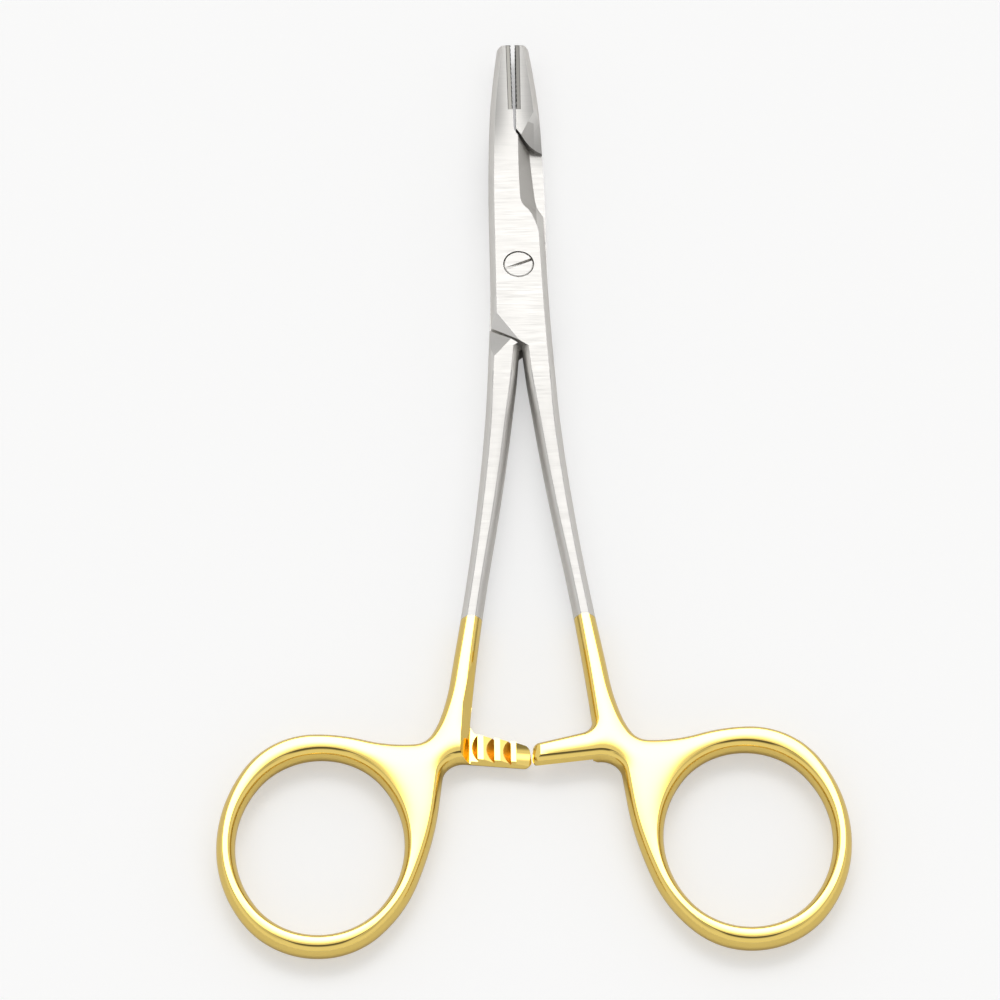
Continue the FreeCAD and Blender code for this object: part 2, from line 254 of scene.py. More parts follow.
def crownHeight(spots, triangles, fixed):
    # a skin stretched over the top, held at its edge and pressed up evenly, so gentle where the strip
    # is narrow; solved by conjugate gradients
    xy = np.column_stack([spots.real, spots.imag])
    corner = xy[triangles]
    edges = corner[:, [2, 0, 1]] - corner[:, [1, 2, 0]]
    area = 0.5 * (edges[:, 0, 0] * edges[:, 1, 1] - edges[:, 0, 1] * edges[:, 1, 0])
    stiff = np.einsum("tik,tjk->tij", edges, edges) / (4 * area[:, None, None])
    mass = np.bincount(triangles.ravel(), np.repeat(area / 3, 3), len(spots))
    reach = section["crownReach"]
    free = ~fixed

    def press(u):
        part = np.einsum("tij,tj->ti", stiff, u[triangles])
        return (np.bincount(triangles.ravel(), part.ravel(), len(spots)) + mass * u / reach ** 2) * free

    load = mass * section["crownSlope"] / reach * free
    u = np.zeros(len(spots))
    rest = load - press(u)
    way = rest.copy()
    size = rest @ rest
    for _ in range(600):
        pushed = press(way)
        step = size / (way @ pushed)
        u += step * way
        rest -= step * pushed
        fresh = rest @ rest
        if fresh < 1e-18:
            break
        way = rest + fresh / size * way
        size = fresh
    return u


def fittedNormals(spots, high, near=16):
    # normals of the crowned top, from a curved patch fitted to the height round each point
    slopes = np.empty((len(spots), 2))
    for start in range(0, len(spots), 1000):
        here = spots[start:start + 1000]
        gap = np.abs(here[:, None] - spots[None, :])
        ids = np.argpartition(gap, near, axis=1)[:, :near]
        away = spots[ids] - here[:, None]
        x, y, rise = away.real, away.imag, high[ids] - high[start:start + 1000, None]
        terms = np.stack([x, y, x * x, x * y, y * y], -1)
        weighed = terms * np.exp(-(np.abs(away) / spacing["patch"]) ** 2)[..., None]
        square = np.einsum("pki,pkj->pij", weighed, terms) + 1e-9 * np.eye(5)
        pull = np.einsum("pki,pk->pi", weighed, rise)[..., None]
        slopes[start:start + 1000] = np.linalg.solve(square, pull)[:, :2, 0]
    out = np.column_stack([-slopes, np.ones(len(spots))])
    return out / np.linalg.norm(out, axis=1)[:, None]


def evened(normals, inward, closed):
    # normals along the edge of the crown: square to the edge, with a slope that changes slowly along it
    slope = -(normals[:, 0] * inward.real + normals[:, 1] * inward.imag) / normals[:, 2]
    lean = -(normals[:, 0] * inward.imag - normals[:, 1] * inward.real) / normals[:, 2]
    weight = np.hanning(13)[1:-1]
    weight = weight / weight.sum()
    mode = "wrap" if closed else "edge"
    slope, lean = (np.convolve(np.pad(v, 5, mode=mode), weight, "valid") for v in (slope, lean))
    out = np.column_stack([-slope * inward.real - lean * inward.imag,
                           -slope * inward.imag + lean * inward.real, np.ones(len(slope))])
    return out / np.linalg.norm(out, axis=1)[:, None]


def sectionGrid(points, ways, n):
    # the carried section, from the lower edge of the crown round to the upper one, with its normals
    depth, high, turn = sideRows(points.imag)
    inward = 1j * ways
    plan = points[None, :] + inward[None, :] * depth
    plan[:, [0, n - 1]] = plan[:, [0, n - 1]].real + 1j * section["seamY"]
    slope = (halfThick(points.imag + 0.05) - halfThick(points.imag - 0.05)) / 0.1
    normal = np.stack([-inward.real * np.cos(turn), -inward.imag * np.cos(turn) - slope * np.sin(turn),
                       np.sin(turn)], -1)
    upper = np.stack([plan.real, plan.imag, high], -1)
    grid = np.concatenate([(upper * under)[:0:-1], upper])
    return plan[-1], high[-1], grid, np.concatenate([(normal * under)[:0:-1], normal])


def gridQuads(tall, n, r):
    # faces of the section round the open outline of n points and the closed rim of r points
    index = np.arange(tall * (n + r)).reshape(tall, n + r)
    quads = []
    for first, count, closed in ((0, n, False), (n, r, True)):
        here = index[:, first:first + count]
        after = np.roll(here, -1, axis=1)
        if not closed:
            here, after = here[:, :-1], after[:, :-1]
        quads.append(np.stack([here[:-1], after[:-1], after[1:], here[1:]], -1).reshape(-1, 4))
    return index, np.concatenate(quads)


def topTriangles(spots, n, r, seamCount):
    # the crowned top, between the outline, the seam with the joint and the rim of the finger hole
    ring = list(range(n)) + list(range(n + r, n + r + seamCount))
    bounds = list(zip(ring, ring[1:] + ring[:1])) + [(n + k, n + (k + 1) % r) for k in range(r)]
    found = geometry.delaunay_2d_cdt([Vector((p.real, p.imag)) for p in spots], bounds, [], 4, 1e-7)
    triangles = np.array([ids[0] for ids in found[3]])[np.array(found[2])]
    triangles = triangles[~np.all((triangles >= n) & (triangles < n + r), axis=1)]
    a, b = (spots[triangles[:, k]] - spots[triangles[:, 0]] for k in (1, 2))
    area = a.real * b.imag - a.imag * b.real
    triangles[area < 0] = triangles[area < 0][:, ::-1]
    return triangles[np.abs(area) > 1e-9]


def handleParts():
    # every point with its normal, in two kinds of face: the carried section and the crowned faces
    points, ways, rim, rimWays = handleOutline()
    allPoints, allWays = np.concatenate([points, rim]), np.concatenate([ways, rimWays])
    n, r = len(points), len(rim)
    edge, edgeHigh, grid, gridNormal = sectionGrid(allPoints, allWays, n)
    index, quads = gridQuads(len(grid), n, r)
    # the crowned top shares its edge with the last row of the section
    seam = edge[n - 1] + (edge[0] - edge[n - 1]) * np.linspace(0, 1, 9)[1:-1]
    spots = np.concatenate([edge, seam, innerPoints(allPoints, allWays)])
    triangles = topTriangles(spots, n, r, len(seam))
    fixed = np.arange(len(spots)) < n + r + len(seam)
    lift = crownHeight(spots, triangles, fixed)
    share = grown(spots.imag)
    crown = section["crownSlope"] * section["crownReach"]
    top = halfThick(spots.imag) - crown * share + lift * share
    top[:n + r] = edgeHigh
    topNormal = fittedNormals(spots, top)
    for first, count, closed in ((0, n, False), (n, r, True)):
        part = slice(first, first + count)
        topNormal[part] = evened(topNormal[part], 1j * allWays[part], closed)
    base = len(grid) * (n + r)
    extra = np.arange(len(spots) - n - r)
    upId = np.concatenate([index[-1], base + extra])
    downId = np.concatenate([index[0], base + len(extra) + extra])
    place = np.column_stack([spots.real, spots.imag, top])
    verts = np.concatenate([grid.reshape(-1, 3), place[n + r:], place[n + r:] * under])
    faces = [tuple(f) for part in (quads, upId[triangles], downId[triangles[:, ::-1]]) for f in part]
    kinds = [0] * len(quads) + [1] * (2 * len(triangles))
    skin = (grid.reshape(-1, 3), gridNormal.reshape(-1, 3))
    caps = (np.concatenate([place, place * under]), np.concatenate([topNormal, topNormal * under]))
    return verts, faces, kinds, skin, caps


def shell(low, high):
    # a closed block between two rings of points
    count = len(low)
    faces = [tuple(range(count))[::-1], tuple(range(count, 2 * count))]
    faces += [(k, (k + 1) % count, count + (k + 1) % count, count + k) for k in range(count)]
    block = bmesh.new()
    verts = [block.verts.new(tuple(p)) for p in list(low) + list(high)]
    for face in faces:
        block.faces.new([verts[k] for k in face])
    bmesh.ops.recalc_face_normals(block, faces=block.faces[:])
    mesh = bpy.data.meshes.new("block")
    block.to_mesh(mesh)
    block.free()
    return mesh


def onLine(a, b, x):
    # height at x of the line through a and b
    return a[1] + (b[1] - a[1]) / (b[0] - a[0]) * (x - a[0])


def wedge(a, b, outward, atZ, slope, side):
    # falls away from the line a-b at the given slope; side is 1 from above, -1 from below
    start, end = np.array([a[0], a[1], 0.0]), np.array([b[0], b[1], 0.0])
    run = (end - start) / np.linalg.norm(end - start)
    out = np.array([-run[1], run[0], 0]) * outward
    fall, back, reach = math.tan(math.radians(slope)), 1.5, 8.0
    high, low = atZ + side * back * fall, atZ - side * reach * fall
    ring = [start - out * back + [0, 0, high], start + out * reach + [0, 0, low],
            start + out * reach + [0, 0, high]]
    return shell(ring, [p + end - start for p in ring])


def carved(target, cutter, operation):
    # the target mesh cut by, kept inside, or joined to the cutter mesh
    body, tool = bpy.data.objects.new("body", target), bpy.data.objects.new("tool", cutter)
    for thing in (body, tool):
        bpy.context.scene.collection.objects.link(thing)
    cut = body.modifiers.new("cut", "BOOLEAN")
    cut.object, cut.operation, cut.solver = tool, operation, "EXACT"
    cut.material_mode = "TRANSFER"
    made = bpy.data.meshes.new_from_object(body.evaluated_get(bpy.context.evaluated_depsgraph_get()))
    for thing in (body, tool):
        bpy.data.objects.remove(thing)
    return made


def united(meshes, material):
    # one cutter of several that overlap, all in one material
    mesh = meshes[0]
    for other in meshes[1:]:
        mesh = carved(mesh, other, "UNION")
    mesh.materials.clear()
    mesh.materials.append(material)
    mesh.polygons.foreach_set("material_index", np.zeros(len(mesh.polygons), dtype=np.int32))
    return mesh


def toothFace(k):
    # where the steep face of tooth k stands
    return ratchet["tipX"] + ratchet["firstFace"] + k * ratchet["step"]


def teethCutter():
    # all that lies below the teeth, out to the leaning wall of the step in the shank
    r = ratchet
    run, crest = r["stepRun"], -r["high"] / 2
    base = crest + r["fall"]
    line = [(r["tipX"] - 1, r["below"]), (r["tipX"] - 1, base)]
    for k in range(r["count"]):
        face = toothFace(k)
        line += [(face - r["step"], base), (face - r["crest"], crest), (face, crest)]
    line += [(face, base), (face + 6, base), (face + 6, r["below"])]
    teeth = shell([(x, run[-1][1], z) for x, z in line], [(x, run[0][1], z) for x, z in line])
    rings = []
    for z in (r["below"], r["high"] / 2):
        wall = [(x - (section["handleHalf"] + z) * r["wallLean"], y, z) for x, y in run]
        rings.append(wall + [(r["tipX"] - 2, run[-1][1], z), (r["tipX"] - 2, run[0][1], z)])
    return carved(teeth, shell(*rings), "INTERSECT")


def scoopCutter(k):
    # a scoop whose floor falls towards the steep face of a tooth; the one before the first ends the bar
    r = ratchet
    face, ends = toothFace(k), k < 0
    curve, slope, deep = (r[("end" if ends else "scoop") + name] for name in ("Round", "Slope", "Deep"))
    bar = outline["bar"]
    across = (onLine(bar[1], bar[2], face) + onLine(bar[3], bar[4], face) + r["edge"]) / 2
    wide = np.linspace(-r["scoopHalf"], r["scoopHalf"], 31)
    sag = curve - np.sqrt(curve ** 2 - wide ** 2)
    rings = []
    for x in (face - 2.0 if ends else face, face + r["scoopLong"]):
        floor = deep - slope * (x - face) - sag
        rings.append([(x, across + w, z) for w, z in zip(wide, floor)]
                     + [(x, across + wide[-1], r["below"] - 1), (x, across + wide[0], r["below"] - 1)])
    return shell(*rings)


def ratchetCutters(material):
    # heights from the mid plane, with the teeth on the underside
    r = ratchet
    top, low, web = outline["bar"][1], outline["bar"][3], outline["bar"][4]
    start, far = r["tipX"] - 1, r["stepRun"][-1][0] - 1.5
    chamfer = wedge((start, onLine(low, web, start) + r["edge"]), (far, onLine(low, web, far) + r["edge"]),
                    -1, -r["high"] / 2, r["edgeFall"], -1)
    tipX = r["tipX"] + r["tipBevel"]
    tip = wedge((tipX, top[1]), (tipX, low[1] - 1), -1, section["handleHalf"], r["tipSlope"], 1)
    return united([teethCutter(), chamfer, tip] + [scoopCutter(k) for k in range(-1, r["count"])], material)


def nearestTree(points):
    found = kdtree.KDTree(len(points))
    for k, p in enumerate(points):
        found.insert(p, k)
    found.balance()
    return found


def faceNormals(mesh):
    out = np.empty(len(mesh.polygons) * 3)
    mesh.polygons.foreach_get("normal", out)
    return out.reshape(-1, 3)


def easedNormals(mesh, chosen, limit=30.0, flat=0.99):
    # normals at the corners of the chosen faces, averaged by area over faces that nearly agree;
    # a flat face never blends with one that isn't
    normals = faceNormals(mesh)
    areas = np.empty(len(mesh.polygons))
    mesh.polygons.foreach_get("area", areas)
    level = np.abs(normals[:, 2]) > flat
    around = {}
    for face in mesh.polygons:
        if chosen[face.index]:
            for vert in face.vertices:
                around.setdefault(vert, []).append(face.index)
    near = math.cos(math.radians(limit))
    result = {}
    for face in mesh.polygons:
        if not chosen[face.index]:
            continue
        own = normals[face.index]
        for loop, vert in zip(face.loop_indices, face.vertices):
            ids = np.array(around[vert])
            fits = ids[(normals[ids] @ own > near) & (level[ids] == level[face.index])]
            total = (normals[fits] * areas[fits, None]).sum(axis=0)
            result[loop] = total / max(np.linalg.norm(total), 1e-12)
    return result


def handleMesh():
    # the carved handle: its mesh and points, a normal for every corner, and the scoop faces that get the
    # painted reflection
    verts, faces, kinds, skin, caps = handleParts()
    labels = [bpy.data.materials.new(n) for n in ("skin", "crown", "cut")]
    mesh = bpy.data.meshes.new("handle")
    mesh.from_pydata([tuple(v) for v in verts], [], faces)
    for label in labels[:2]:
        mesh.materials.append(label)
    mesh.polygons.foreach_set("material_index", np.array(kinds, dtype=np.int32))
    work = bmesh.new()
    work.from_mesh(mesh)
    closed(work)
    work.to_mesh(mesh)
    work.free()
    made = carved(mesh, ratchetCutters(labels[2]), "DIFFERENCE")
    names = [m.name for m in made.materials]
    kind = np.array([names[f.material_index] for f in made.polygons])
    spots = np.empty(len(made.vertices) * 3)
    made.vertices.foreach_get("co", spots)
    spots = spots.reshape(-1, 3)
    corner = handleNormals(made, kind, spots, {"skin": skin, "crown": caps})
    plain = faceNormals(made)
    middle = np.array([f.center[0] for f in made.polygons])
    # the scoop floors facing into the teeth, which get the painted reflection
    facing = (plain[:, 0] < -0.35) & (plain[:, 2] < -0.2)
    reflectingScoops = (kind == "cut") & facing & (middle < ratchet["stepRun"][0][0])
    return made, spots, corner, reflectingScoops


def handleNormals(mesh, kind, spots, known):
    # each kept face takes the worked-out normals nearest its corners, and the cut ones their own
    corner = np.zeros((len(mesh.loops), 3))
    for label, (places, normals) in known.items():
        found = nearestTree(places)
        near = {}
        for face in mesh.polygons:
            if kind[face.index] != label:
                continue
            for loop, vert in zip(face.loop_indices, face.vertices):
                if vert not in near:
                    near[vert] = normals[found.find(spots[vert])[1]]
                corner[loop] = near[vert]
    plain = faceNormals(mesh)
    for face in mesh.polygons:
        atSeam = spots[face.vertices[0]][1] > section["seamY"] - 0.2
        if kind[face.index] == "skin" and atSeam and abs(plain[face.index][1]) > 0.99:
            corner[list(face.loop_indices)] = plain[face.index]
    for loop, normal in easedNormals(mesh, kind == "cut").items():
        corner[loop] = normal
    return corner


def closed(work):
    # an open rim is filled, here the flat end at the seam
    bmesh.ops.holes_fill(work, edges=[e for e in work.edges if len(e.link_faces) == 1], sides=0)


def finish(mesh, corner, looks, second=None):
    # the first look everywhere, the second on the faces marked
    mesh.materials.clear()
    for look in looks:
        mesh.materials.append(look)
    marks = np.zeros(len(mesh.polygons)) if second is None else second
    mesh.polygons.foreach_set("material_index", np.array(marks, dtype=np.int32))
    mesh.polygons.foreach_set("use_smooth", np.ones(len(mesh.polygons), dtype=bool))
    mesh.update()
    mesh.normals_split_custom_set([tuple(n) for n in corner])


def piece(name, mesh, body, node):
    thing = bpy.data.objects.new(name, mesh)
    bpy.context.scene.collection.objects.link(thing)
    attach(thing, body)
    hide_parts(node)


def handlePiece(name, nodeName, forging, flipped, looks, body):
    # the handle laid in place for one arm: turned over for the lower one, and opened
    mesh, spots, corner, reflectingScoops = forging
    side = np.array([-1.0, 1.0, -1.0]) if flipped else np.ones(3)
    angle = math.radians(-section["opening"] if flipped else section["opening"])
    c, s = math.cos(angle), math.sin(angle)
    spin = np.array([[c, s, 0], [-s, c, 0], [0, 0, 1]])
    copy = mesh.copy()
    copy.name = name
    place = (spots * side) @ spin + [0, 0, section["midPlane"]]
    copy.vertices.foreach_set("co", (place * mm).ravel())
    finish(copy, (corner * side) @ spin, looks, reflectingScoops)
    piece(name, copy, body, nodeName)


def jointPiece(name, nodeName, flipped, look, body):
    # the jaw, blade and lap of the arm, kept from the modelled part
    node = nodes[nodeName]
    work = bmesh.new()
    work.from_mesh(node.data)
    work.transform(Matrix.Scale(1 / mm, 4) @ node.matrix_world)
    bmesh.ops.remove_doubles(work, verts=work.verts[:], dist=2e-4)
    spin = Matrix.Rotation(math.radians(-section["opening"] if flipped else section["opening"]), 3, "Z")
    bmesh.ops.bisect_plane(work, geom=work.verts[:] + work.edges[:] + work.faces[:], dist=1e-5,
                           plane_co=spin @ Vector((0, section["seamY"], 0)),
                           plane_no=spin @ Vector((0, -1, 0)), clear_outer=True)
    closed(work)
    print(name, "open edges", len([e for e in work.edges if len(e.link_faces) != 2]))
    mesh = bpy.data.meshes.new(name)
    work.to_mesh(mesh)
    work.free()
    corner = np.zeros((len(mesh.loops), 3))
    for loop, normal in easedNormals(mesh, np.ones(len(mesh.polygons), dtype=bool)).items():
        corner[loop] = normal
    mesh.transform(Matrix.Scale(mm, 4))
    finish(mesh, corner, [look])
    piece(name, mesh, body, nodeName)


# Materials

steelFinish = {
    "colour": (0.475, 0.465, 0.447, 1.0),
    "lineColour": (0.455, 0.446, 0.43, 1.0),
    # the sides' paler colour is painted light, brightening them against the flats
    "litSideColour": (0.76, 0.745, 0.72, 1.0),
    # the ground blades' darker colour is painted dark reflection in their polished hollows
    "groundDarkReflection": (0.56, 0.545, 0.52, 1.0),
    "groundX": (-0.00045, 0.00265, 0.00005),   # from, to and half the width of the edge
    "groundLow": (0.002, 0.005), "groundHigh": (0.0237, 0.0238),
    "roughness": 0.42, "roughSpread": 0.05,
    "grain": 9000.0,       # brushing lines per metre, across the length
    "stretch": 0.03,       # a line is this much less fine along its length
    "bump": 0.04, "bumpHigh": 0.00002,
    "jawFrom": 0.014, "jawTo": 0.027,
    "jawLean": 165.0,      # lean of the jaws' top towards their sides, per metre from the middle
    "tipLean": 0.02,       # and towards the tip
}
goldFinish = {
    "colour": (0.90, 0.67, 0.19, 1.0),
    "roughness": 0.07,
    "startY": -0.0543,     # the plating begins square to the length here
    "startSoft": 0.0001,
    # the scoops' deeper orange colours are painted reflection of the gold round them
    "scoopReflectedColour": (0.93, 0.56, 0.09, 1.0),
    "scoopPaleReflected": (0.97, 0.68, 0.16, 1.0),
    "scoopGrain": (900, 5000, 900),
    "scoopRough": (0.38, 0.48),
}
insertFinish = {
    "colour": (0.085, 0.083, 0.08, 1.0),
    # the top's paler colour is a painted highlight
    "highlightColour": (0.235, 0.228, 0.21, 1.0),
    "roughness": 0.38,
    "highlightFrom": 0.00018,   # from the jaw face
    "highlightTo": 0.00062,
    "soft": 0.00003,
    "lowerHighlightShare": 0.5,     # the lower jaw's insert gets less painted highlight, a painted shade
}


def newMaterial(name):
    material = bpy.data.materials.new(name)
    material.use_nodes = True
    tree = material.node_tree
    return material, tree, tree.nodes["Principled BSDF"]


def objectPoint(tree):
    return tree.nodes.new("ShaderNodeTexCoord").outputs["Object"]


def stretched(tree, point, scale):
    mapping = tree.nodes.new("ShaderNodeMapping")
    mapping.inputs["Scale"].default_value = scale
    tree.links.new(point, mapping.inputs["Vector"])
    return mapping.outputs["Vector"]


def noise(tree, vector, detail=3.0, roughness=0.6):
    node = tree.nodes.new("ShaderNodeTexNoise")
    node.inputs["Scale"].default_value = 1.0
    node.inputs["Detail"].default_value = detail
    node.inputs["Roughness"].default_value = roughness
    tree.links.new(vector, node.inputs["Vector"])
    return node.outputs["Fac"]


def ranged(tree, value, fromLow, fromHigh, toLow, toHigh):
    node = tree.nodes.new("ShaderNodeMapRange")
    for name, number in (("From Min", fromLow), ("From Max", fromHigh), ("To Min", toLow), ("To Max", toHigh)):
        node.inputs[name].default_value = number
    tree.links.new(value, node.inputs["Value"])
    return node.outputs["Result"]


def maths(tree, operation, a, b=None):
    node = tree.nodes.new("ShaderNodeMath")
    node.operation = operation
    for socket, value in zip(node.inputs, (a, b)):
        if isinstance(value, (int, float)):
            socket.default_value = value
        elif value is not None:
            tree.links.new(value, socket)
    return node.outputs["Value"]


def vectorMaths(tree, operation, *values):
    node = tree.nodes.new("ShaderNodeVectorMath")
    node.operation = operation
    for socket, value in zip(node.inputs, values):
        tree.links.new(value, socket)
    return node.outputs["Vector"]


def separated(tree, vector):
    node = tree.nodes.new("ShaderNodeSeparateXYZ")
    tree.links.new(vector, node.inputs["Vector"])
    return node.outputs


def mixed(tree, share, first, second):
    # first where the share is 0, second where it is 1; each a colour or a socket
    node = tree.nodes.new("ShaderNodeMixRGB")
    tree.links.new(share, node.inputs["Fac"])
    for socket, value in ((node.inputs["Color1"], first), (node.inputs["Color2"], second)):
        if isinstance(value, tuple):
            socket.default_value = value
        else:
            tree.links.new(value, socket)
    return node.outputs["Color"]


def product(tree, *values):
    total = values[0]
    for value in values[1:]:
        total = maths(tree, "MULTIPLY", total, value)
    return total


def eased(tree, value, fromLow, fromHigh, toLow, toHigh):
    result = ranged(tree, value, fromLow, fromHigh, toLow, toHigh)
    result.node.interpolation_type = "SMOOTHSTEP"
    return result


def steelShader(tree, shader):
    # crosswise brushing; the sides are coloured paler than the flats as painted light, and the ground blades
    # between the two as painted dark reflection
    steel = steelFinish
    point = objectPoint(tree)
    fine, drawn = steel["grain"], steel["grain"] * steel["stretch"]
    lines = noise(tree, stretched(tree, point, (drawn, fine, drawn)))
    shader.inputs["Metallic"].default_value = 1.0
    flat = mixed(tree, ranged(tree, lines, 0.52, 0.68, 0.0, 1.0), steel["colour"], steel["lineColour"])
    facing = separated(tree, tree.nodes.new("ShaderNodeTexCoord").outputs["Normal"])
    lying = eased(tree, maths(tree, "ABSOLUTE", facing["Z"]), 0.75, 0.95, 0.0, 1.0)
    place = separated(tree, point)
    left, right, soft = steel["groundX"]
    # where the ground blades get their painted dark reflection
    ground = product(tree, ranged(tree, place["X"], left - soft, left + soft, 0, 1),
                     ranged(tree, place["X"], right - soft, right + soft, 1, 0),
                     eased(tree, place["Y"], *steel["groundLow"], 0, 1),
                     ranged(tree, place["Y"], *steel["groundHigh"], 1, 0))
    side = mixed(tree, ground, steel["litSideColour"], steel["groundDarkReflection"])
    tree.links.new(mixed(tree, lying, side, flat), shader.inputs["Base Color"])
    rough, spread = steel["roughness"], steel["roughSpread"]
    tree.links.new(ranged(tree, lines, 0.3, 0.7, rough - spread, rough + spread), shader.inputs["Roughness"])
    bump = tree.nodes.new("ShaderNodeBump")
    bump.inputs["Strength"].default_value = steel["bump"]
    bump.inputs["Distance"].default_value = steel["bumpHigh"]
    tree.links.new(lines, bump.inputs["Height"])
    # the jaws are rounded over towards their outer sides: normal = bump + (x * lean, tip lean, 0)
    lean = tree.nodes.new("ShaderNodeCombineXYZ")
    jaws = product(tree, lying, eased(tree, place["Y"], steel["jawFrom"], steel["jawTo"], 0, 1))
    tree.links.new(product(tree, jaws, place["X"], steel["jawLean"]), lean.inputs["X"])
    tree.links.new(product(tree, jaws, steel["tipLean"]), lean.inputs["Y"])
    leaning = vectorMaths(tree, "ADD", bump.outputs["Normal"], lean.outputs["Vector"])
    tree.links.new(vectorMaths(tree, "NORMALIZE", leaning), shader.inputs["Normal"])
    return place


def armMaterial(name):
    # brushed steel, plated from the start line to the ring
    material, tree, steel = newMaterial(name)
    place = steelShader(tree, steel)
    gold = tree.nodes.new("ShaderNodeBsdfPrincipled")
    gold.inputs["Metallic"].default_value = 1.0
    gold.inputs["Base Color"].default_value = goldFinish["colour"]
    gold.inputs["Roughness"].default_value = goldFinish["roughness"]
    start, soft = goldFinish["startY"], goldFinish["startSoft"]
    plated = ranged(tree, place["Y"], start + soft, start - soft, 0.0, 1.0)
    mix = tree.nodes.new("ShaderNodeMixShader")
    tree.links.new(plated, mix.inputs["Fac"])
    tree.links.new(steel.outputs["BSDF"], mix.inputs[1])
    tree.links.new(gold.outputs["BSDF"], mix.inputs[2])
    tree.links.new(mix.outputs["Shader"], tree.nodes["Material Output"].inputs["Surface"])
    return material


def scoopMaterial(name):
    # plating left as ground at the bottom of the ratchet, so less polished; its deeper orange colour is
    # painted reflection of the gold round it
    material, tree, gold = newMaterial(name)
    gold.inputs["Metallic"].default_value = 1.0
    marks = noise(tree, stretched(tree, objectPoint(tree), goldFinish["scoopGrain"]))
    colour = mixed(tree, marks, goldFinish["scoopReflectedColour"], goldFinish["scoopPaleReflected"])
    tree.links.new(colour, gold.inputs["Base Color"])
    tree.links.new(ranged(tree, marks, 0.3, 0.7, *goldFinish["scoopRough"]), gold.inputs["Roughness"])
    return material


def steelMaterial(name):
    material, tree, steel = newMaterial(name)
    steelShader(tree, steel)
    return material


def insertMaterial(name):
    # dark hard metal; its top takes a paler band as a painted highlight, between a dark outline and the dark
    # points at the jaw face, which are painted shade in the serrations
    material, tree, shader = newMaterial(name)
    shader.inputs["Metallic"].default_value = 1.0
    shader.inputs["Roughness"].default_value = insertFinish["roughness"]
    point = separated(tree, objectPoint(tree))
    facing = separated(tree, tree.nodes.new("ShaderNodeNewGeometry").outputs["True Normal"])
    # the jaw faces open with the arms: inset = |x| - y * tan(opening)
    slant = maths(tree, "MULTIPLY", point["Y"], math.tan(math.radians(section["opening"])))
    inset = maths(tree, "SUBTRACT", maths(tree, "ABSOLUTE", point["X"]), slant)
    low, high, soft = insertFinish["highlightFrom"], insertFinish["highlightTo"], insertFinish["soft"]
    # painted highlight on up-facing top faces, in a band back from the jaw face; the dark at the jaw face is
    # painted shade
    highlight = product(tree, ranged(tree, facing["Z"], 0.7, 0.95, 0.0, 1.0),
                   ranged(tree, point["X"], -0.0001, 0.0001, 1.0, insertFinish["lowerHighlightShare"]),
                   ranged(tree, inset, low - soft, low + soft, 0.0, 1.0),
                   ranged(tree, inset, high - soft, high + soft, 1.0, 0.0))
    colour = mixed(tree, highlight, insertFinish["colour"], insertFinish["highlightColour"])
    tree.links.new(colour, shader.inputs["Base Color"])
    return material


armLook = armMaterial("satin_steel_and_gold")
scoopLook = scoopMaterial("plated_scoop")
screwLook = steelMaterial("satin_steel")
insertLook = insertMaterial("serrated_insert")
for nodeName, look in (("front_arm", armLook), ("back_arm", armLook), ("pivot_screw", screwLook),
                       ("front_jaw_insert", insertLook), ("back_jaw_insert", insertLook)):
    nodes[nodeName].data.materials.clear()
    nodes[nodeName].data.materials.append(look)
print("materials done")


forging = handleMesh()
print("forging carved", len(forging[0].polygons))
handlePiece("front_handle", "front_arm", forging, False, [armLook, scoopLook], "upper_half")
handlePiece("back_handle", "back_arm", forging, True, [armLook, scoopLook], "lower_half")
jointPiece("front_joint", "front_arm", False, armLook, "upper_half")
jointPiece("back_joint", "back_arm", True, armLook, "lower_half")
print("arms done")

# Studio

studio = {
    "floorSize": 6.0,
    "floorColour": (0.62, 0.62, 0.617, 1.0),
    "mirroredFloor": (0.84, 0.83, 0.81, 1.0),
    "floorGlow": 0.43,     # seen by the camera alone
    "sky": 0.86,
    "soft": {"light": 4.3, "wide": 0.33, "near": (-0.20, -0.04), "far": (0.06, 0.33)},
    "dark": {"light": 0.12, "wide": (0.30, 0.55), "back": (-0.2, 0.0), "low": (0.40, 0.58)},
    "sides": {"light": 0.40, "high": 0.52, "reach": 0.20, "wide": (0.45, 0.7)},
}


def makeFloor():
    half = studio["floorSize"] / 2
    mesh = bpy.data.meshes.new("floor")
    corners = [(-half, -half, 0), (half, -half, 0), (half, half, 0), (-half, half, 0)]
    mesh.from_pydata(corners, [], [(0, 1, 2, 3)])
    floor = bpy.data.objects.new("floor", mesh)
    bpy.context.scene.collection.objects.link(floor)
    material, tree, shader = newMaterial("pale_table")
    seen = tree.nodes.new("ShaderNodeLightPath").outputs["Is Camera Ray"]
    colour = mixed(tree, seen, studio["mirroredFloor"], studio["floorColour"])
    tree.links.new(colour, shader.inputs["Base Color"])
    shader.inputs["Roughness"].default_value = 1.0
    shader.inputs["Specular IOR Level"].default_value = 0.0
    shader.inputs["Emission Color"].default_value = (1.0, 1.0, 1.0, 1.0)
    tree.links.new(maths(tree, "MULTIPLY", seen, studio["floorGlow"]), shader.inputs["Emission Strength"])
    mesh.materials.append(material)


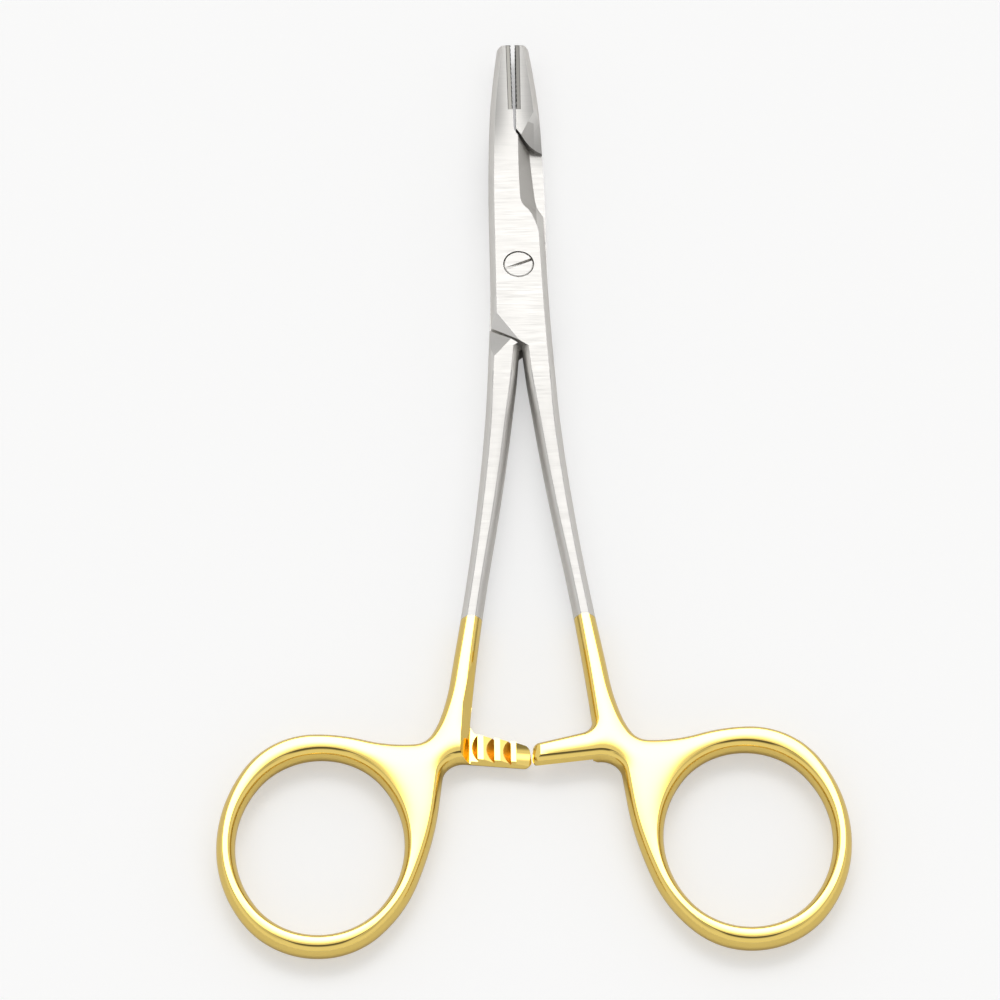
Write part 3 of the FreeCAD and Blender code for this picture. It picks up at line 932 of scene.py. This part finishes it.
def makeWorld():
    # a white tent: one soft window where the flats mirror it, dark round the camera, greyer half way
    # up the sides
    world = bpy.data.worlds.new("studio")
    bpy.context.scene.world = world
    world.use_nodes = True
    tree = world.node_tree
    way = tree.nodes.new("ShaderNodeTexCoord").outputs["Generated"]

    def towards(direction):
        node = tree.nodes.new("ShaderNodeVectorMath")
        node.operation = "DOT_PRODUCT"
        tree.links.new(way, node.inputs[0])
        node.inputs[1].default_value = direction
        return node.outputs["Value"]

    across, back, up = towards((1, 0, 0)), towards((0, -1, 0)), towards((0, 0, 1))
    window, along = towards((0, 0.5, 0.866)), towards((0, 0.866, -0.5))
    wide = maths(tree, "ABSOLUTE", across)
    soft, dark, sides = studio["soft"], studio["dark"], studio["sides"]
    # a bell across, soft steps along, and nothing behind
    square = maths(tree, "MULTIPLY", across, across)
    bell = maths(tree, "EXPONENT", maths(tree, "MULTIPLY", square, -1 / soft["wide"] ** 2))
    glow = product(tree, bell, eased(tree, along, *soft["near"], 0, 1), eased(tree, along, *soft["far"], 1, 0),
                   eased(tree, window, 0.3, 0.5, 0, 1))
    shade = product(tree, eased(tree, wide, *dark["wide"], 1, 0), eased(tree, back, *dark["back"], 0, 1),
                    eased(tree, up, *dark["low"], 0, 1))
    high, reach = sides["high"], sides["reach"]
    gap = product(tree, eased(tree, up, high - reach, high, 0, 1), eased(tree, up, high, high + reach, 1, 0),
                  eased(tree, wide, *sides["wide"], 0, 1))
    level = maths(tree, "MULTIPLY", ranged(tree, gap, 0, 1, studio["sky"], sides["light"]),
                  ranged(tree, shade, 0, 1, 1, dark["light"] / studio["sky"]))
    background = tree.nodes["Background"]
    background.inputs["Color"].default_value = (1.0, 1.0, 1.0, 1.0)
    light = maths(tree, "ADD", level, maths(tree, "MULTIPLY", glow, soft["light"]))
    tree.links.new(light, background.inputs["Strength"])


# The camera looks down at 60 degrees from the rings' side.
cameraView = {
    "target": (-3.3 * mm, -35.856 * mm, 2.4 * mm),
    "distance": 600 * mm,
    "elevation": 60.0,
    "turn": 1.2,
    "lens": 162.0,
}


def makeCamera():
    data = bpy.data.cameras.new("camera")
    data.lens = cameraView["lens"]
    data.sensor_width = 36.0
    data.clip_start, data.clip_end = 0.01, 20.0
    camera = bpy.data.objects.new("camera", data)
    tilt, turn = math.radians(cameraView["elevation"]), math.radians(cameraView["turn"])
    away = Vector((-math.sin(turn) * math.cos(tilt), -math.cos(turn) * math.cos(tilt), math.sin(tilt)))
    camera.location = Vector(cameraView["target"]) + away * cameraView["distance"]
    camera.rotation_mode = "QUATERNION"
    camera.rotation_quaternion = (-away).to_track_quat("-Z", "Y")
    bpy.context.scene.collection.objects.link(camera)
    bpy.context.scene.camera = camera


makeFloor()
makeWorld()
makeCamera()
bpy.context.scene.view_settings.view_transform = "Standard"
print("studio and camera done")
